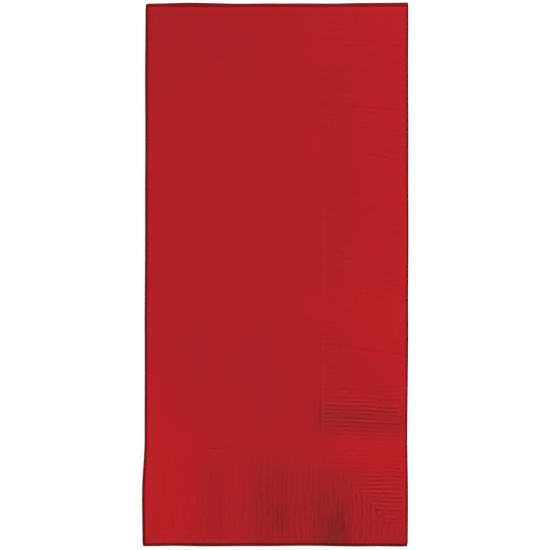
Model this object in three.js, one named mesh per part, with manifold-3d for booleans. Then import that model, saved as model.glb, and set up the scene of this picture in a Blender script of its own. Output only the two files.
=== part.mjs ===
// A paper dinner napkin, folded to an eighth and lying flat.
//
// It is one nearly square sheet of two-ply tissue, with a coin-edge border of fine ribs pressed
// along its sides. The sheet is folded back and forth into four columns, and that strip is folded
// once across, so eight layers lie on each other. The columns' folds are at the left (-X) and the
// right (+X), the cross fold is at the far end (+Y), and the eight cut ends are at the near end.
// The top layer has a fold at its left side and the sheet's cut side at its right.
//
// Millimetres, +Z up. The origin is under the middle of the stack, on the surface it lies on.

import * as THREE from 'three';
import { mergeVertices } from 'three/addons/utils/BufferGeometryUtils.js';
import Module from 'manifold-3d';

// The folded napkin, seen from above
const foldedWidth = 98.3;
const foldedLength = 203.2;

// The sheet and its folds. The tissue is drawn 1 mm thick, layer on layer.
const sheetThickness = 1.0;
const layerGap = 0.15;
const columns = 4;
const endStep = 0.4; // how far each layer's cut end stands back from the next one towards the middle

// The pressed border on the top layer
const sideBandWidth = 31.7;
const endBandWidth = 35.3;
const sideRibPitch = 1.53;
const endRibPitch = 1.74;
const ribHeight = 0.25;
const sideInset = 2.0; // plain paper left between the ribs and the cut side
const endInset = 1.0; // and between the ribs and the cut end
const bandRise = 0.15; // the pressed plies stand this much proud of the plain ones
const mitreGap = 0.5; // plain line where the two bands meet
const bandDepth = 0.5; // how far a band's solid reaches into the sheet it is joined to

// How finely the folds and the flat runs are divided. The shares of a run start at the left fold
// and at the cross fold, and lie closer where the stack is less even.
const turnSteps = 6;
const crossTurnSteps = 8;
const crossTurnPower = 0.66; // 1 makes the cross fold round, and less makes it squarer
const acrossShares = [0, 0.05, 0.14, 0.26, 0.38, 0.5, 0.62, 0.74, 0.87, 1];
const alongShares = [0, 0.12, 0.3, 0.48, 0.62, 0.7, 0.77, 0.84, 0.92, 1];
const bandSteps = 3;
const bandBaseStep = 12;

// The two sides' distances from the middle line, down the length. The near left corner flares.
const sideLines = [
  { y: -101.6, left: 49.5, right: 49.6 },
  { y: -83.0, left: 49.8, right: 49.7 },
  { y: -60.0, left: 48.8, right: 49.4 },
  { y: -20.0, left: 48.7, right: 49.8 },
  { y: 101.6, left: 48.5, right: 49.8 },
];

// Soft swells (rise above 0) and hollows of the top: their middle, half-lengths and rise
const swells = [
  { what: 'crown along the middle', x: 8, y: 10, across: 42, along: 150, rise: 0.4 },
  { what: 'puffed folds at the left side', x: -49, y: -55, across: 10, along: 60, rise: 0.6 },
  { what: 'left ripple in the end band', x: -16, y: -94, across: 6, along: 18, rise: 0.25 },
  { what: 'middle ripple in the end band', x: 9, y: -96, across: 7, along: 20, rise: 0.25 },
  { what: 'high ripple near the corner', x: 31, y: -101, across: 8, along: 26, rise: 0.45 },
  { what: 'hollow across the side band', x: 34, y: -59, across: 22, along: 7, rise: -0.45 },
  { what: 'slack at the cross fold', x: -25, y: 88, across: 35, along: 20, rise: -0.2 },
];

// Worked out from the sizes above
const layerPitch = sheetThickness + layerGap;
const layers = 2 * columns;
const stackHeight = (layers - 1) * layerPitch + sheetThickness;
const crossTurnRadius = stackHeight / 2;
const straightLength = foldedLength - crossTurnRadius;
const turnReach = (layerPitch + sheetThickness) / 2;

const napkinMaterial = new THREE.MeshStandardMaterial({
  color: 0xb0212a,
  roughness: 0.95,
  metalness: 0,
});

const wasm = await Module();
wasm.setup();

// Places across the sheet, as the strip is folded back and forth: x, the depth of the sheet's
// middle under the strip's outer face, and the angle of its run in that section
function acrossStations() {
  const stations = [];
  const turnRadius = layerPitch / 2;
  const cutX = foldedWidth / 2;
  const turnX = foldedWidth / 2 - turnReach;
  for (let column = 0; column < columns; column += 1) {
    const leftward = column % 2 === 0;
    const depth = column * layerPitch;
    const rightX = column === 0 || column === columns - 1 ? cutX : turnX;
    const leftX = -turnX;
    for (const share of acrossShares) {
      const fromLeft = leftward ? 1 - share : share;
      stations.push({
        x: THREE.MathUtils.lerp(leftX, rightX, fromLeft),
        depth,
        angle: leftward ? Math.PI : 0,
      });
    }
    if (column === columns - 1) {
      continue;
    }
    const side = leftward ? -1 : 1;
    for (let step = 1; step < turnSteps; step += 1) {
      const turned = (Math.PI * step) / turnSteps;
      stations.push({
        x: side * (turnX + turnRadius * Math.sin(turned)),
        depth: depth + turnRadius * (1 - Math.cos(turned)),
        angle: leftward ? Math.PI - turned : turned,
      });
    }
  }
  return stations;
}

// Places along the sheet, as the strip is folded over at the cross fold: the share of the straight
// run from the fold, and the angle of the turn, from straight down to straight up
function alongStations() {
  const stations = [];
  for (const share of alongShares.toReversed()) {
    stations.push({ run: share, angle: -Math.PI / 2 });
  }
  for (let step = 1; step < crossTurnSteps; step += 1) {
    stations.push({ run: 0, angle: Math.PI * (step / crossTurnSteps - 0.5) });
  }
  for (const share of alongShares) {
    stations.push({ run: share, angle: Math.PI / 2 });
  }
  return stations;
}

// A side's distance from the middle line at y
function sideDistance(side, y) {
  const upper = Math.max(1, sideLines.findIndex((line) => line.y >= y));
  const a = sideLines[upper - 1];
  const b = sideLines[upper];
  const share = THREE.MathUtils.smoothstep(y, a.y, b.y);
  return THREE.MathUtils.lerp(a[side], b[side], share);
}

// The top's rise above the even stack
function topRise(x, y) {
  return swells.reduce((sum, swell) => {
    const away = ((x - swell.x) / swell.across) ** 2 + ((y - swell.y) / swell.along) ** 2;
    return sum + swell.rise * Math.exp(-away);
  }, 0);
}

// Moves a point of the even stack to where it lies in the real, uneven one. The underside is flat.
function settle(x, y, z) {
  const side = x < 0 ? 'left' : 'right';
  const settledX = (x * sideDistance(side, y)) / (foldedWidth / 2);
  return [settledX, y, z * (1 + topRise(x, y) / stackHeight)];
}

// A sine or cosine of the cross fold's angle, changed so that the fold is squarer than round
function squared(value) {
  return Math.sign(value) * Math.abs(value) ** crossTurnPower;
}

// The folded sheet: a slab whose points are carried round the folds
function foldedSheet() {
  const across = acrossStations();
  const along = alongStations();
  const acrossCount = across.length - 1;
  const alongCount = along.length - 1;
  const slab = new THREE.BoxGeometry(
    acrossCount, alongCount, sheetThickness, acrossCount, alongCount, 1,
  );
  const turnY = foldedLength / 2 - crossTurnRadius;
  const point = slab.attributes.position;
  for (let i = 0; i < point.count; i += 1) {
    const a = across[Math.round(point.getX(i) + acrossCount / 2)];
    const b = along[Math.round(point.getY(i) + alongCount / 2)];
    const offset = point.getZ(i);
    const x = a.x - offset * Math.sin(a.angle);
    const depth = a.depth + offset * Math.cos(a.angle);
    const radius = crossTurnRadius - sheetThickness / 2 - depth;
    const middleRadius = crossTurnRadius - sheetThickness / 2 - a.depth;
    const run = b.run * (straightLength - endStep * (middleRadius / layerPitch - 0.5));
    const y = turnY - run + radius * squared(Math.cos(b.angle));
    const z = crossTurnRadius + radius * squared(Math.sin(b.angle));
    point.setXYZ(i, ...settle(x, y, z));
  }
  return slab;
}

// A band of ribs on the top layer. Its profile, ribs above and a plain base below, runs along the
// cut edge and is extruded across the band; place(edge, share) then gives each point's x and y.
function ribBand(start, end, ribPitch, place) {
  const profile = new THREE.Shape();
  const ribs = Math.floor((end - start) / ribPitch);
  const baseSteps = Math.ceil((ribs * ribPitch) / bandBaseStep);
  profile.moveTo(start, bandRise);
  for (let step = 0; step <= baseSteps; step += 1) {
    profile.lineTo(start + (ribs * ribPitch * step) / baseSteps, -bandDepth);
  }
  for (let rib = ribs; rib > 0; rib -= 1) {
    profile.lineTo(start + rib * ribPitch, bandRise);
    profile.lineTo(start + (rib - 0.5) * ribPitch, bandRise + ribHeight);
  }
  const band = new THREE.ExtrudeGeometry(profile, {
    depth: 1,
    steps: bandSteps,
    bevelEnabled: false,
  });
  const point = band.attributes.position;
  for (let i = 0; i < point.count; i += 1) {
    const [x, y] = place(point.getX(i), point.getZ(i));
    point.setXYZ(i, ...settle(x, y, stackHeight + point.getY(i)));
  }
  return band;
}

// The two bands meet in a mitre, on a line from their inner corner to the sheet's corner
const cutSideX = foldedWidth / 2;
const topEndY = -foldedLength / 2 + endStep * (columns - 1);
const innerX = cutSideX - sideBandWidth;
const innerY = topEndY + endBandWidth;

function sideBand() {
  const outerX = cutSideX - sideInset;
  const start = topEndY + ((sideInset + mitreGap) * endBandWidth) / sideBandWidth;
  const end = foldedLength / 2 - crossTurnRadius;
  return ribBand(start, end, sideRibPitch, (edge, share) => {
    const mitreX = innerX + ((innerY - edge) * sideBandWidth) / endBandWidth + mitreGap / 2;
    return [THREE.MathUtils.lerp(Math.max(innerX, mitreX), outerX, share), edge];
  });
}

function endBand() {
  const outerY = topEndY + endInset;
  const start = -foldedWidth / 2 + turnReach + endInset;
  const end = cutSideX - sideInset - mitreGap;
  return ribBand(start, end, endRibPitch, (edge, share) => {
    const mitreY = innerY - ((edge - innerX) * endBandWidth) / sideBandWidth - mitreGap / 2;
    return [edge, THREE.MathUtils.lerp(Math.min(innerY, mitreY), outerY, share)];
  });
}

// A closed geometry as a solid that can be joined
function solidOf(geometry) {
  const bare = geometry.clone();
  bare.deleteAttribute('normal');
  bare.deleteAttribute('uv');
  const merged = mergeVertices(bare, 1e-4);
  return new wasm.Manifold(new wasm.Mesh({
    numProp: 3,
    vertProperties: Float32Array.from(merged.attributes.position.array),
    triVerts: Uint32Array.from(merged.index.array),
  }));
}

// A solid as a geometry
function geometryOf(solid) {
  const mesh = solid.getMesh();
  const geometry = new THREE.BufferGeometry();
  geometry.setAttribute('position', new THREE.BufferAttribute(mesh.vertProperties, 3));
  geometry.setIndex(new THREE.BufferAttribute(mesh.triVerts, 1));
  geometry.computeVertexNormals();
  return geometry;
}

// Puts the origin under the middle of the stack
function centred(geometry) {
  geometry.computeBoundingBox();
  const middle = geometry.boundingBox.getCenter(new THREE.Vector3());
  geometry.translate(-middle.x, -middle.y, -geometry.boundingBox.min.z);
  return geometry;
}

const sheet = [sideBand(), endBand()].reduce(
  (solid, band) => solid.add(solidOf(band)),
  solidOf(foldedSheet()),
);
const napkin = new THREE.Mesh(centred(geometryOf(sheet)), napkinMaterial);
napkin.name = 'napkin';

const object = new THREE.Group();
object.add(napkin);

export default object;
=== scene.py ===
import math

import bmesh
import bpy
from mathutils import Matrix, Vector, noise


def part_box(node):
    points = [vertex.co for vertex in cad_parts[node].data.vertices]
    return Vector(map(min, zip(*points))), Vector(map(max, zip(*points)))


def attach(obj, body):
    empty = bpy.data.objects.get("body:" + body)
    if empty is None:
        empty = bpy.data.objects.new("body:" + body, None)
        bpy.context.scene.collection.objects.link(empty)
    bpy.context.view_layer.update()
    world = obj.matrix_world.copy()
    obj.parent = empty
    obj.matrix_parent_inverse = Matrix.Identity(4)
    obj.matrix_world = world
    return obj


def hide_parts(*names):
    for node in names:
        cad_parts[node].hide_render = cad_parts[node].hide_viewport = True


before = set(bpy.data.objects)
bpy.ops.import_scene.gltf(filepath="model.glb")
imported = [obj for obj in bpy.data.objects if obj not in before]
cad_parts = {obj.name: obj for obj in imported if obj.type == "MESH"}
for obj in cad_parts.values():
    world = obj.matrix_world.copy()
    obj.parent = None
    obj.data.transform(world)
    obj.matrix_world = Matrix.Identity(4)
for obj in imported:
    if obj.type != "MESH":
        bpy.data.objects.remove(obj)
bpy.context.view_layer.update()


# The napkin is one nearly square sheet of two-ply tissue, dyed red in the pulp. A coin-edge border
# of fine ribs is rolled into its sides, which is all that holds the plies together. It is folded
# back and forth into four columns, and that strip is folded once across, so eight layers lie flat.
MM = 0.001

# The folded stack, in the frame of its solid
low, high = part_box("napkin")
fold_length = high[1] - low[1]
fold_width = 98.3 * MM
stack_height = 9.05 * MM

# The sheet in its folds. Flat, it is measured by u, from the cut side at the right of the top layer,
# and by v, from the lower cut end.
columns = 4
sheet_thickness = 0.5 * MM
layer_pitch = (stack_height - sheet_thickness) / (2 * columns - 1)
end_step = 0.46 * MM  # how far a layer's cut end stands back from the next one towards the middle
turn_radius = layer_pitch / 2
turn_x = fold_width / 2 - turn_radius - sheet_thickness / 2  # where the side folds begin to turn
turn_length = math.pi * turn_radius
outer_run = fold_width / 2 + turn_x
inner_run = 2 * turn_x
column_runs = [outer_run] + [inner_run] * (columns - 2) + [outer_run]
flat_width = sum(column_runs) + (columns - 1) * turn_length
cross_radius = stack_height / 2
cross_y = fold_length / 2 - cross_radius
cross_length = math.pi * (cross_radius - sheet_thickness / 2)
cross_squareness = 0.66  # 1 makes the cross fold round, and less makes it squarer
straight = fold_length - cross_radius - (columns - 1) * end_step
flat_length = 2 * straight + cross_length


def across(u):
    """x, and depth under the strip's outer face, at u."""
    start, side, depth = fold_width / 2, -1, 0.0
    for run in column_runs[:-1]:
        if u <= run:
            break
        u -= run
        if u < turn_length:
            turned = u / turn_radius
            x = side * (turn_x + turn_radius * math.sin(turned))
            return x, depth + turn_radius * (1 - math.cos(turned))
        u -= turn_length
        start, side = side * turn_x, -side
        depth += layer_pitch
    return start + side * u, depth


def along(v, depth):
    """y and z at v, for a layer at that depth in the strip."""
    radius = cross_radius - sheet_thickness / 2 - depth
    run = straight + end_step * depth / layer_pitch
    if v <= straight:
        return cross_y - run * (1 - v / straight), cross_radius - radius
    if v >= straight + cross_length:
        return cross_y - run * (v - straight - cross_length) / straight, cross_radius + radius
    angle = math.pi * ((v - straight) / cross_length - 0.5)
    rise = math.copysign(abs(math.sin(angle)) ** cross_squareness, angle)
    return cross_y + radius * math.cos(angle) ** cross_squareness, cross_radius + radius * rise


# The real stack is uneven. Its two sides' distances from the middle line, down the length, in
# millimetres: y, left, right
side_lines = [
    (-101.6, 49.55, 49.5),
    (-83.0, 49.8, 49.6),
    (-60.0, 48.75, 49.45),
    (-20.0, 48.7, 49.75),
    (101.6, 48.5, 49.75),
]

# Soft swells and hollows of its top: x, y, half-length across, half-length along, rise
swells = [
    (8, 10, 42, 150, 0.4),
    (-49, -55, 10, 60, 0.6),
    (-16, -94, 6, 18, 0.25),
    (9, -96, 7, 20, 0.25),
    (31, -101, 8, 26, 0.45),
    (34, -59, 22, 7, -0.45),
    (-25, 88, 35, 20, -0.2),
]

# How much longer it is at its right side, as a share, and the places between which that grows
side_stretch = 0.0017
stretch_places = (20 * MM, 49 * MM)

# Its layers' slight waves, up and down, at their folds and at their ends, and each wave's size
layer_wave = 0.16 * MM
side_wave = 0.15 * MM
end_wave = 0.35 * MM
wave_across = 22 * MM
wave_along = 30 * MM
wave_up = 1.6 * MM

# Shallow dents in the cross fold's wall, and their size. They die away towards the middle.
fold_dent = 0.6 * MM
dent_across = 40 * MM
dent_up = 2.2 * MM
dent_mean = 0.13  # as a share of fold_dent, so that the fold's line stays in its place
dent_places = (0, 60 * MM)

# The bottom layer lies flat, and the bottom and the top layer keep their line at the ends. The waves
# grow between these heights over the floor, or depths under the top.
wave_heights = (0.3 * MM, 2 * MM)
slip_heights = (0.8 * MM, 3 * MM)
slip_depths = (0.3 * MM, 3 * MM)


def smooth(value, start, end):
    """A share that rises smoothly from 0 at start to 1 at end."""
    share = min(max((value - start) / (end - start), 0.0), 1.0)
    return share * share * (3 - 2 * share)


def side_distance(x, y):
    """How far the side on which x lies stands from the middle line, at y."""
    side = 1 if x < 0 else 2
    for lower, upper in zip(side_lines, side_lines[1:]):
        if y <= upper[0] * MM or upper is side_lines[-1]:
            share = smooth(y, lower[0] * MM, upper[0] * MM)
            return (lower[side] + (upper[side] - lower[side]) * share) * MM


def soft_sum(patches, x, y, power=1):
    """The sum at x, y of soft patches. Each is highest in its middle; a higher power flattens it."""
    total = 0.0
    for at_x, at_y, half_across, half_along, height in patches:
        across_share = ((x / MM - at_x) / half_across) ** 2
        along_share = ((y / MM - at_y) / half_along) ** 2
        total += height * math.exp(-(across_share ** power) - along_share ** power)
    return total


def settled(x, y, z, rise):
    """Where a point of the even stack, with the rise of its relief, lies in the real one."""
    wave = layer_wave * noise.noise(Vector((x / wave_across, y / wave_along, z / wave_up)))
    drift = side_wave * noise.noise(Vector((7, y / wave_along, z / wave_up)))
    slip = end_wave * noise.noise(Vector((x / wave_across, 7, z / wave_up)))
    dent = abs(noise.noise(Vector((x / dent_across, 2, z / dent_up)))) - dent_mean
    slip -= fold_dent * dent * smooth(y, *dent_places)
    z += rise + wave * smooth(z, *wave_heights)
    z *= 1 + soft_sum(swells, x, y) * MM / stack_height
    x = x * side_distance(x, y) / (fold_width / 2) + drift
    y *= 1 + side_stretch * smooth(x, *stretch_places)
    y += slip * smooth(z, *slip_heights) * smooth(stack_height - z, *slip_depths)
    return x, y, z


# The border's bands along the cut sides and the cut ends: the pitch of the ribs, the width of the
# band, and the plain paper outside it
side_pitch = 1.53 * MM
end_pitch = 1.74 * MM
side_band = 32.0 * MM
end_band = 35.3 * MM
side_margin = 2.0 * MM
end_margin = 1.0 * MM

# The ribs: their slope along the sides, how narrow their crests are (1 is a plain wave), how deep
# their grooves show against their height, and where they run out at their ends and at the folds
rib_tilt = 0.03
rib_sharpness = 1.6
groove_share = 0.9
rib_fade = 0.5 * MM
side_fold_fade = (0, 2 * MM)
cross_fold_fade = (1 * MM, 5 * MM)

# The ribs' height in millimetres: faint all over, and deeper where the stack was pressed: x, y,
# half-length across, half-length along, height
faint_rib = 0.02
pressed_ribs = [
    (34, -52, 24, 7, 0.185),
    (42, -82, 13, 11.5, 0.14),
    (24, -93, 12, 14, 0.055),
    (2, -90, 14, 18, 0.05),
    (-30, -88, 16, 16, 0.025),
]

# The faint ribs come and go in dashes, and the deeper ones in longer strokes
side_dash = 3.5 * MM
end_dash = 3 * MM
side_stroke = 11 * MM
end_stroke = 4.5 * MM

# How far the ribs wander from their line, as a share of the pitch, and over what length. Those of
# the end band wander more.
rib_wander = 0.35
wander_size = 12 * MM
end_wander = 0.8
end_wander_across = 4 * MM
end_wander_along = 14 * MM

# The border's inner edge: a fine ridge and groove along its side, and a groove along its end, and
# where they show: x, y, half-length across, half-length along, share
edge_reach = 0.55 * MM
edge_height = 0.1 * MM
edge_marks = [
    (17, 6, 5, 17, 0.8),
    (17, -27, 5, 4, 0.6),
    (17, -50, 5, 8, 2.4),
    (-20, -65, 15, 5, 1.0),
]


def unevenness(x, y, across_size, along_size, seed):
    """Smooth noise around 0, in swells of that size across and along. Each seed gives another one."""
    return noise.noise(Vector((x / across_size, y / along_size, seed)))


def uneven_share(x, y, across_size, along_size, seed, mean, swing):
    """A share that varies in such swells around mean, and is never below 0."""
    return max(0.0, mean + swing * unevenness(x, y, across_size, along_size, seed))


def edge_mark(away):
    """Height of the line along the border's inner edge, at that distance from its middle."""
    return edge_height * max(0.0, 1 - abs(away) / edge_reach)


def rib(u, v, x, y):
    """Height of the ribs and of the border's edge line, and the painted highlight and shade they get
    in the colour: lighter above 0 on crests, darker under it in grooves. The ribs run square to the
    nearest cut edge and meet in a mitre."""
    from_side = min(u, flat_width - u)
    from_end = min(v, flat_length - v)
    by_side = from_side / side_band
    by_end = from_end / end_band
    if min(by_side, by_end) > 1 + 2 * edge_reach / side_band:
        return 0.0, 0.0
    wander = rib_wander * unevenness(x, y, wander_size, wander_size, seed=3)
    if by_side < by_end:
        turns = (from_end - rib_tilt * from_side) / side_pitch
        room, margin = side_band - from_side, from_side - side_margin
        dash = uneven_share(x, y, side_dash, side_pitch, seed=5, mean=0.2, swing=4)
        stroke = uneven_share(x, y, side_stroke, side_pitch, seed=6, mean=1, swing=2)
        mark = edge_mark(room - edge_reach) - edge_mark(room + edge_reach)
        mark *= uneven_share(x, y, 2 * side_dash, 2 * side_pitch, seed=2.5, mean=0.8, swing=1)
    else:
        turns = from_side / end_pitch
        wander += end_wander * unevenness(x, y, end_wander_across, end_wander_along, seed=4)
        room, margin = end_band - from_end, from_end - end_margin
        dash = uneven_share(x, y, end_pitch, end_dash, seed=9, mean=0.2, swing=4)
        stroke = uneven_share(x, y, end_pitch, end_stroke, seed=10, mean=0.8, swing=4)
        mark = -edge_mark(room)
        mark *= uneven_share(x, y, 2 * end_pitch, 2 * end_dash, seed=4.5, mean=0.8, swing=1)
    mark *= soft_sum(edge_marks, x, y)
    height = (faint_rib * dash + soft_sum(pressed_ribs, x, y) * stroke) * MM
    height *= smooth(room, edge_reach, edge_reach + rib_fade) * smooth(margin, 0, rib_fade)
    crest = (0.5 - 0.5 * math.cos(2 * math.pi * (turns + wander))) ** rib_sharpness
    fade = smooth(abs(u - outer_run), *side_fold_fade) * smooth(straight - from_end, *cross_fold_fade)
    return fade * (height * crest + mark), fade * (height * (2 * crest - groove_share) + mark)


# Fine creases in the top layer, in millimetres: x and y of one end, x and y of the other, rise.
# Their reach is to both sides, and their fade at each end is a share of their length.
creases = [
    (16.5, -25.6, 49, -30.2, -0.09),
    (30, 87.5, 47, 85, -0.07),
    (28, 63, 47, 61, -0.07),
    (29, 46, 47, 42, -0.07),
    (-43, -95.9, -31, -96.2, 0.12),
    (-30, -99.4, -15, -99.3, 0.2),
]
crease_reach = 0.5
crease_fade = 0.15

# Small darker flecks in the side band: their relief, their size, and that of the patches that they
# gather in
fleck_relief = 0.043 * MM
fleck_across = 2.4 * MM
fleck_along = 1.3 * MM
fleck_patch = 11 * MM


def crease(x, y):
    """Rise of the fine creases at x, y."""
    total = 0.0
    here = Vector((x, y)) / MM
    for x1, y1, x2, y2, rise in creases:
        start, run = Vector((x1, y1)), Vector((x2 - x1, y2 - y1))
        share = min(max((here - start).dot(run) / run.length_squared, 0.0), 1.0)
        away = (here - start - run * share).length / crease_reach
        from_its_end = 0.5 - abs(share - 0.5)
        total += rise * MM * math.exp(-away * away) * smooth(from_its_end, 0, crease_fade)
    return total


def outer_relief(u, v, x, y):
    """Rise of the ribs, edge line and creases in the strip's outer face, and the painted highlight and
    shade that they get in the colour, with the flecks' random tone. The creases are in the top layer
    alone, and the flecks have no height."""
    rise, highlight_shade_and_flecks = rib(u, v, x, y)
    if v > flat_length / 2:
        line = crease(x, y)
        rise += line
        highlight_shade_and_flecks += line
    if u < side_band:
        gathered = uneven_share(x, y, fleck_patch, fleck_patch, seed=0, mean=1, swing=3)
        highlight_shade_and_flecks += fleck_relief * gathered * unevenness(x, y, fleck_across, fleck_along, seed=11)
    return rise, highlight_shade_and_flecks


def spaced(start, end, step):
    """Places from start to just before end, about a step apart."""
    count = max(1, round((end - start) / step))
    return [start + (end - start) * i / count for i in range(count)]


def border_lines(start, band, end, cell, last_cell):
    """Grid lines from start to end that lie close together around the band's inner edge."""
    lines = spaced(start, band - 3 * edge_reach, cell)
    lines += [band + step * edge_reach for step in range(-3, 4)]
    return lines + spaced(band + 4 * edge_reach, end, last_cell)


# The flat sheet is a grid, coarse in its plain parts, with close lines where it bends: at the cut
# edges, where the ends droop and have two creases beside them, and round the folds
cell_across = 3 * end_pitch
cell_along = 4 * side_pitch
turn_steps = 6
cross_steps = 18
cut_lines = [0, 0.8 * MM, 1.8 * MM]
cut_side_reach = 3.5 * MM
crease_lines = [2.9 * MM, 3.5 * MM, 4.1 * MM]
cut_end_reach = 5.2 * MM
u_lines = cut_lines + border_lines(cut_side_reach, side_band, outer_run, cell_across, cell_across / 2)
fold_u = outer_run
for run in column_runs[1:]:
    u_lines += spaced(fold_u, fold_u + turn_length, turn_length / turn_steps)
    u_lines += spaced(fold_u + turn_length, fold_u + turn_length + run, cell_across)
    fold_u += turn_length + run
u_lines.append(flat_width)
v_half = cut_lines + crease_lines
v_half += border_lines(cut_end_reach, end_band, straight, cell_along, cell_along)
v_lines = v_half + spaced(straight, straight + cross_length, cross_length / cross_steps)
v_lines += [flat_length - v for v in [straight] + v_half[::-1]]

sheet = bmesh.new()
bmesh.ops.create_grid(sheet, x_segments=len(u_lines) - 1, y_segments=len(v_lines) - 1, size=0.5)
for vert in sheet.verts:
    i = round((vert.co.x + 0.5) * (len(u_lines) - 1))
    j = round((vert.co.y + 0.5) * (len(v_lines) - 1))
    vert.co = (u_lines[i], v_lines[j], 0)


def divide(axis, spacing, wanted):
    """Cuts the edges along one axis to that spacing, where a face beside them is wanted."""
    groups = {}
    for edge in sheet.edges:
        start, end = (vert.co for vert in edge.verts)
        length = abs(start[axis] - end[axis])
        if length > 1.5 * spacing:
            middles = [face.calc_center_median() for face in edge.link_faces]
            if any(wanted(middle.x, middle.y) for middle in middles):
                groups.setdefault(round(length / spacing) - 1, []).append(edge)
    for cuts, edges in groups.items():
        bmesh.ops.subdivide_edges(sheet, edges=edges, cuts=cuts)


# The top layer's ribs get the finest grid, and those on the underside a coarser one. The last two
# calls cut the top's ribs along their length as well, for their strokes and for the flecks.
ribbed_side = side_band + 2 * edge_reach
ribbed_end = end_band + 2 * edge_reach
stroke_step = 1.9 * MM
divide(1, side_pitch / 4, lambda u, v: u < ribbed_side and flat_length - v < straight)
divide(1, side_pitch / 3, lambda u, v: u < ribbed_side and v < straight)
divide(0, end_pitch / 4, lambda u, v: u < outer_run and flat_length - v < ribbed_end)
divide(0, end_pitch / 3, lambda u, v: u < outer_run and v < ribbed_end)
divide(0, end_pitch, lambda u, v: u < side_band and end_band < flat_length - v < straight)
divide(1, stroke_step, lambda u, v: side_band < u < outer_run and flat_length - v < end_band)
bmesh.ops.triangulate(sheet, faces=[face for face in sheet.faces if len(face.verts) > 4])

# The flat place of each point, as the sheet's UV map
uv_map = sheet.loops.layers.uv.new("flat")
for face in sheet.faces:
    for loop in face.loops:
        loop[uv_map].uv = loop.vert.co.xy / flat_length

# Painted shade and painted light on the top: patches where the red is drawn deeper, for shade, with a
# share above 0, and paler, for light, with a share under 0, in millimetres: x, y, half-length across,
# half-length along, share
painted_shade_and_light_patches = [
    (25, -53.4, 9, 5.6, 0.38),
    (42.5, -54.8, 12, 5.4, 0.34),
    (31, -47, 13, 5, 0.05),
    (15.2, -52, 1.6, 7, 0.3),
    (21, -92, 7, 14, 0.5),
    (22.5, -97, 5, 8, 0.38),
    (12, -88, 5, 15, 0.28),
    (35, -90, 7, 12, 0.06),
    (-1, -86, 8, 17, 0.4),
    (2, -90, 2.5, 6, 0.25),
    (-7.5, -84, 2, 18, 0.12),
    (-22, -83, 5, 18, 0.12),
    (-8.5, -33, 7, 15, 0.14),
    (-31.5, -24, 7, 16, 0.08),
    (-29, -30, 4, 12, 0.08),
    (2, -42, 9, 20, 0.08),
    (-20, 82, 24, 18, 0.14),
    (-34, 97, 18, 6, 0.1),
    (-44, 84, 7, 18, 0.1),
    (-30, 25, 16, 35, 0.04),
    (-37, -50, 5, 10, 0.12),
    (38, -18, 15, 33, -0.2),
    (36, -25, 8, 6, -0.12),
    (11, 30, 8, 52, -0.1),
    (19, 88, 10, 10, -0.1),
    (24, -12.7, 20, 8, -0.16),
    (34, -65.8, 16, 6, -0.3),
    (43, -75, 9, 12, -0.14),
    (-43, -76, 12, 38, -0.45),
    (-27, -65, 10, 7, -0.2),
    (-31, -85, 4, 12, -0.14),
    (-33, 1, 13, 19, -0.16),
    (-46.8, 10, 2.4, 70, -0.28),
    (41, 52, 13, 48, -0.2),
    (47.8, -5, 3.4, 55, -0.27),
    (48.2, -72, 1.8, 30, -0.25),
    (40, 93, 14, 9, -0.1),
    (22, -88, 26, 14, 0.1),
    (38, -92, 8, 9, 0.16),
    (44, -28, 5, 16, -0.1),
    (-45, -4, 4, 9, 0.12),
    (20.5, -71, 6, 6, 0.12),
    (-13, -89, 3, 5, 0.14),
    (-42, -63, 3, 4, 0.1),
]

# Half the width of the painted edge shade, dark all over, in millimetres: a side fold's line, and the
# cross fold's wall. Cut edges get less of it, so the distance from them starts above 0, and for a cut
# side it also grows more slowly.
fold_shade_half_width = 0.22
cross_fold_shade_half_width = 3.5
cut_side_start = 0.32
cut_side_slope = 0.8
cut_end_start = 1.1
fold_lines = [outer_run + turn_length / 2 + i * (inner_run + turn_length) for i in range(columns - 1)]

# How far the cut ends of the upper layers droop, most at the top, and over what length
end_droop = 0.35 * MM
droop_reach = 1.8 * MM

# The sheet is laid in its folds. Each point keeps what the material reads there: millimetres from the
# nearest fold or cut edge, for the painted edge shade, the share of painted shade and painted light
# from the patches, and millimetres of fine relief, for the painted highlight and shade of the ribs,
# creases and edge line, with the flecks.
from_side_edge = sheet.verts.layers.float.new("from_side_edge")
from_end_edge = sheet.verts.layers.float.new("from_end_edge")
painted_shade_and_light = sheet.verts.layers.float.new("painted_shade_and_light")
relief = sheet.verts.layers.float.new("relief")
for vert in sheet.verts:
    u, v = vert.co.xy
    to_cut_side = cut_side_start + cut_side_slope * min(u, flat_width - u) / MM
    to_cut_end = cut_end_start + min(v, flat_length - v) / MM
    # distances that set the painted shade along folds and cut edges
    vert[from_side_edge] = min(to_cut_side, *(abs(u - line) / MM - fold_shade_half_width for line in fold_lines))
    vert[from_end_edge] = min(to_cut_end, abs(v - flat_length / 2) / MM - cross_fold_shade_half_width)
    x, depth = across(u)
    y, z = along(v, depth)
    rise, highlight_shade_and_flecks = outer_relief(u, v, x, y) if depth == 0 else (0.0, 0.0)
    if v > flat_length / 2:
        droop = max(0.0, 1 - (flat_length - v) / droop_reach) ** 2
        rise -= end_droop * droop * (1 - depth / (columns * layer_pitch))
    # painted shade and painted light from the patches, kept for the material
    vert[painted_shade_and_light] = soft_sum(painted_shade_and_light_patches, x, y, power=2)
    # painted highlight and shade of the fine relief, with the flecks, kept for the material
    vert[relief] = highlight_shade_and_flecks / MM
    vert.co = settled(x, y, z, rise)

# The paper gets its thickness, half to each side of the sheet's middle
sheet.normal_update()
for vert in sheet.verts:
    vert.co += vert.normal * sheet_thickness / 2
outer_face = set(sheet.verts)
bmesh.ops.solidify(sheet, geom=sheet.faces[:], thickness=sheet_thickness)

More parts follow.
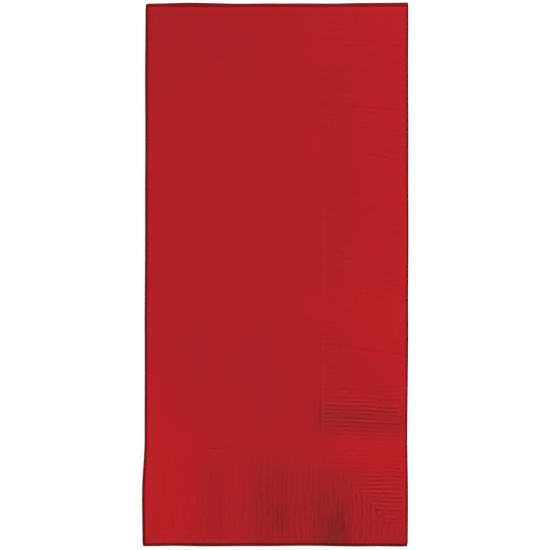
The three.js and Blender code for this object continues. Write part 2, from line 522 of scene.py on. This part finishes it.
# The two plies part a little at the cut edges, where the middle of the paper's edge is drawn in. Of
# the new points there, only the middle ones have no neighbour on either face of the paper.
ply_parting = 0.12 * MM
rim = [edge for edge in sheet.edges if len(outer_face.intersection(edge.verts)) == 1]
parted = bmesh.ops.subdivide_edges(sheet, edges=rim, cuts=3)["geom_inner"]
parted = {vert for vert in parted if isinstance(vert, bmesh.types.BMVert)}
sheet.normal_update()
for vert in parted:
    if all(edge.other_vert(vert) in parted for edge in vert.link_edges):
        vert.co -= vert.normal * ply_parting

# It lies on the floor, and nowhere under it
for vert in sheet.verts:
    vert.co.z = max(vert.co.z, 0.0)

napkin_mesh = bpy.data.meshes.new("napkin_sheet")
sheet.to_mesh(napkin_mesh)
sheet.free()
napkin_mesh.shade_smooth()
napkin_mesh.set_sharp_from_angle(angle=math.radians(50))
napkin = bpy.data.objects.new("napkin_sheet", napkin_mesh)
bpy.context.scene.collection.objects.link(napkin)


def linear(code):
    """An sRGB hex colour as linear red, green, blue and alpha."""
    parts = [int(code[i:i + 2], 16) / 255 for i in (1, 3, 5)]
    colour = [p / 12.92 if p <= 0.04045 else ((p + 0.055) / 1.055) ** 2.4 for p in parts]
    return colour + [1.0]


def add_node(tree, kind, settings=(), links=()):
    """Adds a node, sets its properties and sockets, and links its inputs."""
    node = tree.nodes.new(kind)
    for name, value in dict(settings).items():
        if hasattr(node, str(name)):
            setattr(node, name, value)
        else:
            node.inputs[name].default_value = value
    for name, source in dict(links).items():
        tree.links.new(source, node.inputs[name])
    return node


# Two-ply tissue, dyed in the pulp, creped on the dryer and folded under pressure: matt, with fine
# crepe lines and a slight cloudiness. Painted shade darkens its folds, cut edges and some patches,
# painted light makes other patches paler, and painted highlight and shade lie on the crests and
# grooves of its ribs and creases.
# the two ends of the red, reached by the random clouds and by the painted shade and painted light of
# the patches
pale_red_and_painted_light = "#B5171F"
deep_red_and_painted_shade = "#861A1E"
# a dark red painted as shade along folds, cut edges and the cross fold's wall
edge_shade_red = "#640306"
highlight_shade_and_fleck_tint = (0.14, 0.03, 0.034)  # painted highlight that a millimetre of crest adds to the red, and painted shade that a groove takes from it

# Sizes in the paper, in millimetres: its clouds, and the breaks in the ribs' look. Its crepe is given
# by how many lines a millimetre takes, end to end and side by side.
cloud_size = 12
break_size = 2
crepe_lines = (0.35, 2.2, 1)
cloud_share = 0.3  # how much the random clouds count beside the painted shade and light of the patches

# The painted shade along folds and cut edges is full up to the first of these distances, in
# millimetres, and gone past the second
edge_shade_reach = (0.35, 1.4)

tissue = bpy.data.materials.new("dyed_tissue_painted_shade")
tissue.use_nodes = True
tree = tissue.node_tree
tree.nodes.clear()
flat = add_node(tree, "ShaderNodeUVMap", {"uv_map": "flat"})
flat_mm = add_node(
    tree, "ShaderNodeVectorMath", {"operation": "SCALE", "Scale": flat_length / MM},
    {0: flat.outputs[0]},
)

# Its red, from pale to deep: random clouds, and the patches' painted shade and painted light
cloud = add_node(
    tree, "ShaderNodeTexNoise", {"Scale": 1 / cloud_size, "Detail": 5, "Roughness": 0.6},
    {"Vector": flat_mm.outputs[0]},
)
painted_shade_input = add_node(tree, "ShaderNodeAttribute", {"attribute_name": "painted_shade_and_light"})
clouds_and_painted_shade = add_node(
    tree, "ShaderNodeMath", {"operation": "MULTIPLY_ADD", 1: cloud_share},
    {0: cloud.outputs["Fac"], 2: painted_shade_input.outputs["Fac"]},
)
shade = add_node(
    tree, "ShaderNodeMapRange", {"From Min": -0.35, "From Max": 1.15}, {"Value": clouds_and_painted_shade.outputs[0]},
)
# Painted shade and painted light: the patches mix the red deeper and paler, and the clouds vary it at
# random
tint = add_node(
    tree, "ShaderNodeMix", {"data_type": "RGBA", 6: linear(pale_red_and_painted_light), 7: linear(deep_red_and_painted_shade)},
    {"Factor": shade.outputs[0]},
)

# The ribs, creases and edge line: painted highlight on crests and painted shade in grooves, with the
# flecks' random tone, and breaks in them
crests = add_node(tree, "ShaderNodeAttribute", {"attribute_name": "relief"})
breaks = add_node(
    tree, "ShaderNodeTexNoise", {"Scale": 1 / break_size, "Detail": 2}, {"Vector": flat_mm.outputs[0]},
)
whole = add_node(
    tree, "ShaderNodeMapRange", {"From Min": 0.36, "From Max": 0.64, "To Min": 0.35, "To Max": 1.65},
    {"Value": breaks.outputs["Fac"]},
)
broken_crests = add_node(
    tree, "ShaderNodeMath", {"operation": "MULTIPLY"}, {0: crests.outputs["Fac"], 1: whole.outputs[0]},
)
# painted highlight and shade added to the red
ribbed = add_node(
    tree, "ShaderNodeVectorMath", {"operation": "MULTIPLY_ADD", 1: highlight_shade_and_fleck_tint},
    {0: broken_crests.outputs[0], 2: tint.outputs[2]},
)

# Painted shade along the edges and folds
side_edge = add_node(tree, "ShaderNodeAttribute", {"attribute_name": "from_side_edge"})
end_edge = add_node(tree, "ShaderNodeAttribute", {"attribute_name": "from_end_edge"})
nearest = add_node(
    tree, "ShaderNodeMath", {"operation": "MINIMUM"},
    {0: side_edge.outputs["Fac"], 1: end_edge.outputs["Fac"]},
)
edge_shade = add_node(
    tree, "ShaderNodeMapRange",
    {
        "interpolation_type": "SMOOTHSTEP",
        "From Min": edge_shade_reach[0],
        "From Max": edge_shade_reach[1],
        "To Min": 1,
        "To Max": 0,
    },
    {"Value": nearest.outputs[0]},
)
# painted shade mixed in along folds and cut edges
edge_shaded_colour = add_node(
    tree, "ShaderNodeMix", {"data_type": "RGBA", 7: linear(edge_shade_red)},
    {"Factor": edge_shade.outputs[0], 6: ribbed.outputs[0]},
)

# The crepe lines, too fine to see one by one, which only take the last of the shine off
crepe_place = add_node(
    tree, "ShaderNodeMapping", {"Scale": crepe_lines}, {"Vector": flat_mm.outputs[0]},
)
crepe = add_node(
    tree, "ShaderNodeTexNoise", {"Scale": 1.0, "Detail": 4}, {"Vector": crepe_place.outputs[0]},
)
bump = add_node(
    tree, "ShaderNodeBump", {"Strength": 0.25, "Distance": 0.1 * MM}, {"Height": crepe.outputs["Fac"]},
)
paper = add_node(
    tree, "ShaderNodeBsdfPrincipled", {"Roughness": 0.9, "Specular IOR Level": 0.15},
    {"Base Color": edge_shaded_colour.outputs[2], "Normal": bump.outputs[0]},
)
add_node(tree, "ShaderNodeOutputMaterial", {}, {"Surface": paper.outputs[0]})
napkin_mesh.materials.append(tissue)

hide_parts("napkin")
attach(napkin, "root")


# The floor is a plain pale light table, a matt white sheet of glass lit from below. Its own faint
# glow keeps the napkin's shadow on it soft.
floor_grid = bmesh.new()
bmesh.ops.create_grid(floor_grid, x_segments=1, y_segments=1, size=1.5)
floor_mesh = bpy.data.meshes.new("floor")
floor_grid.to_mesh(floor_mesh)
floor_grid.free()
floor = bpy.data.objects.new("floor", floor_mesh)
bpy.context.scene.collection.objects.link(floor)

# Opal glass with a matt face, which looks evenly white
table = bpy.data.materials.new("matt_white_table")
table.use_nodes = True
table_face = table.node_tree.nodes["Principled BSDF"]
table_face.inputs["Base Color"].default_value = linear("#F4F4F4")
table_face.inputs["Roughness"].default_value = 0.9
table_face.inputs["Emission Color"].default_value = linear("#FFFFFF")
table_face.inputs["Emission Strength"].default_value = 0.65
floor_mesh.materials.append(table)


# The studio is a white room, which lights the napkin from all round. A large soft light stands
# high at its upper right.
world = bpy.data.worlds.new("white_room")
world.use_nodes = True
walls = world.node_tree.nodes["Background"]
walls.inputs["Color"].default_value = linear("#FFFFFF")
walls.inputs["Strength"].default_value = 0.62
bpy.context.scene.world = world
key = bpy.data.lights.new("soft_key", "AREA")
key.size = 0.8
key.energy = 27.5
key_light = bpy.data.objects.new("soft_key", key)
key_light.location = (1.2, 0.8, 1.2)
key_light.rotation_euler = (-key_light.location).to_track_quat("-Z", "Y").to_euler()
bpy.context.scene.collection.objects.link(key_light)


# The camera looks straight down from far up, a hair off the napkin's middle. The picture is square,
# and at the height of the napkin's top its sides take in 205 mm.
view_height = 205.36 * MM
camera_height = 1.6
camera_data = bpy.data.cameras.new("camera")
camera_data.sensor_width = 36
camera_data.lens = camera_data.sensor_width * (camera_height - stack_height) / view_height
camera_data.clip_end = 10
camera = bpy.data.objects.new("camera", camera_data)
camera.location = (-0.05 * MM, -0.1 * MM, camera_height)
bpy.context.scene.collection.objects.link(camera)
bpy.context.scene.camera = camera
bpy.context.scene.view_settings.view_transform = "Standard"
